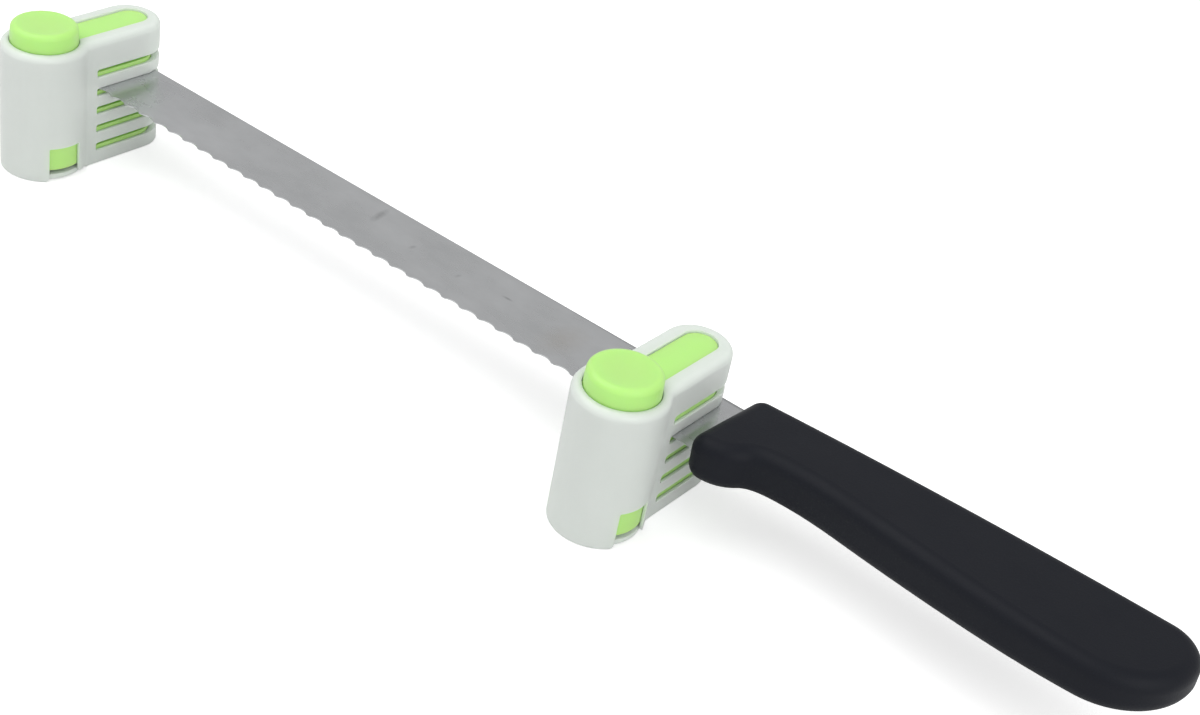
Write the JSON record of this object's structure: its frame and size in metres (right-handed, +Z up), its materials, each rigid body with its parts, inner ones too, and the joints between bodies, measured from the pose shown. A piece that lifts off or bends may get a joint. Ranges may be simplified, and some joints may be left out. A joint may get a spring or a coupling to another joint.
{
  "type": "cake leveler",
  "caption": "Serrated slicing knife held level in slotted clip-on feet with sprung press buttons, for cutting even cake layers.",
  "frame": {"origin": "middle of the object's footprint, on the surface the holders stand on", "axes": "+X along the blade towards the handle, +Y from the holders' posts to their arm tips, +Z up"},
  "size_m": [0.3933, 0.0552, 0.0478],
  "materials": {
    "blade_steel": "satin",
    "handle_plastic": "fine matte",
    "white_plastic": "semi-gloss",
    "green_plastic": "semi-gloss",
    "spring_steel": "bright wire"
  },
  "bodies": {
    "knife": {"knife_blade": "blade_steel", "knife_handle": "handle_plastic"},
    "left_holder": {"left_holder_shell": "white_plastic", "left_bottom_cap": "white_plastic"},
    "left_slider": {"left_press_slider": "green_plastic", "left_return_spring": "spring_steel"},
    "right_holder": {"right_holder_shell": "white_plastic", "right_bottom_cap": "white_plastic"},
    "right_slider": {"right_press_slider": "green_plastic", "right_return_spring": "spring_steel"}
  },
  "joints": [
    {"name": "left_holder_slide", "type": "slide", "parent": "knife", "child": "left_holder", "axis": [1, 0, 0], "range_m": [-0.008, 0.09]},
    {"name": "left_press", "type": "slide", "parent": "left_holder", "child": "left_slider", "axis": [0, 0, -1], "range_m": [0, 0.0013], "stiffness_N_per_m": 400, "springref_m": -0.01, "deforming": ["left_return_spring"]},
    {"name": "right_holder_slide", "type": "slide", "parent": "knife", "child": "right_holder", "axis": [1, 0, 0], "range_m": [-0.09, 0.0055]},
    {"name": "right_press", "type": "slide", "parent": "right_holder", "child": "right_slider", "axis": [0, 0, -1], "range_m": [0, 0.0013], "stiffness_N_per_m": 400, "springref_m": -0.01, "deforming": ["right_return_spring"]}
  ]
}
